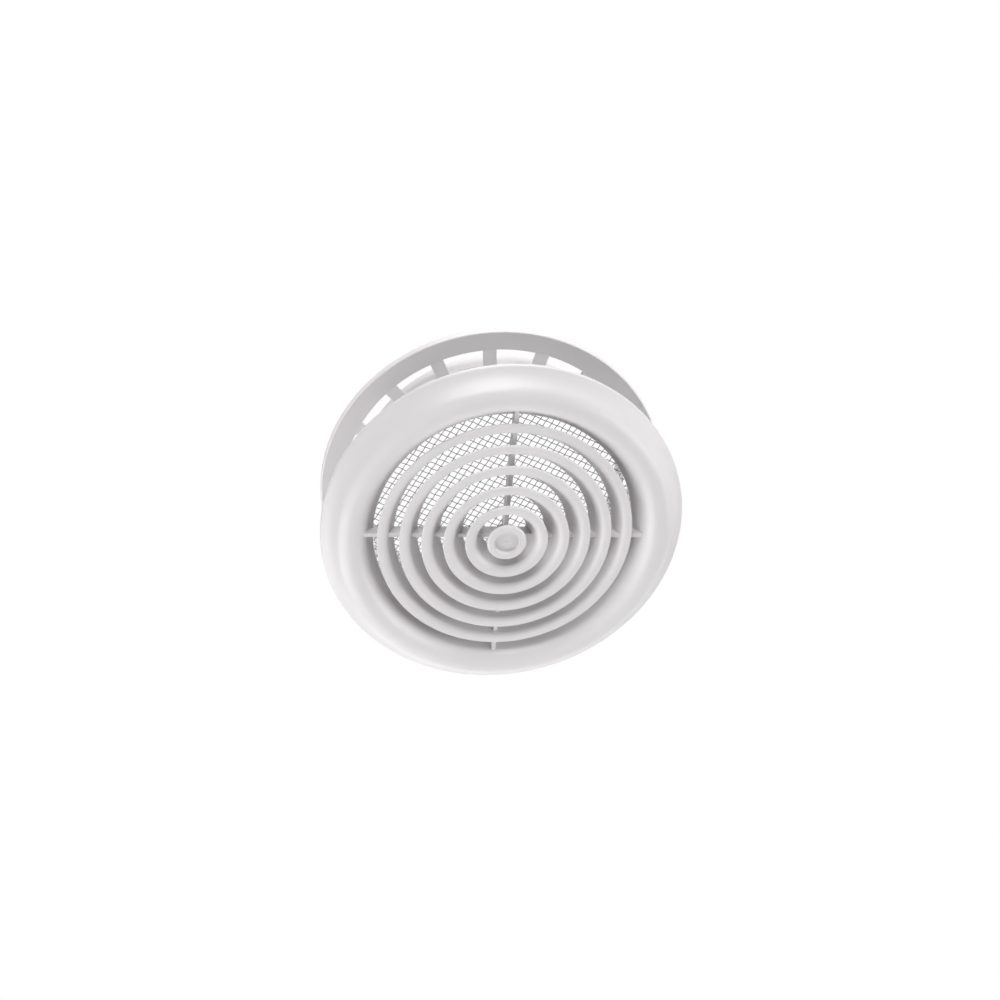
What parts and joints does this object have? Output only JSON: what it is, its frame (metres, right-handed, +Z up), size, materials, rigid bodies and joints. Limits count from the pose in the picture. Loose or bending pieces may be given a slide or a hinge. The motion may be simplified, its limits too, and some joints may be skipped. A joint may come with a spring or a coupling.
{
  "type": "round vent cover",
  "caption": "Round white plastic vent cover with a flared rim, concentric curved vanes on a rib cross, an insect screen and a slotted mounting ring with a duct spigot.",
  "frame": {"origin": "on the spigot's axis, in the plane of the mounting ring's wall face", "axes": "+Y into the wall along the spigot, -Y out of the face, +Z up along one rib, +X along the other rib"},
  "size_m": [0.135, 0.0523, 0.135],
  "materials": {
    "white_plastic": "satin moulded white",
    "ring_plastic": "satin moulded white",
    "screen_mesh": "fine woven grey mesh"
  },
  "bodies": {
    "wall_side": {"mounting_ring": "ring_plastic"},
    "cover": {"front_grille": "white_plastic", "insect_screen": "screen_mesh"}
  },
  "joints": [
    {"name": "cover_pull", "type": "slide", "parent": "wall_side", "child": "cover", "axis": [0, -1, 0], "range_m": [-0.028, 0.007]}
  ]
}
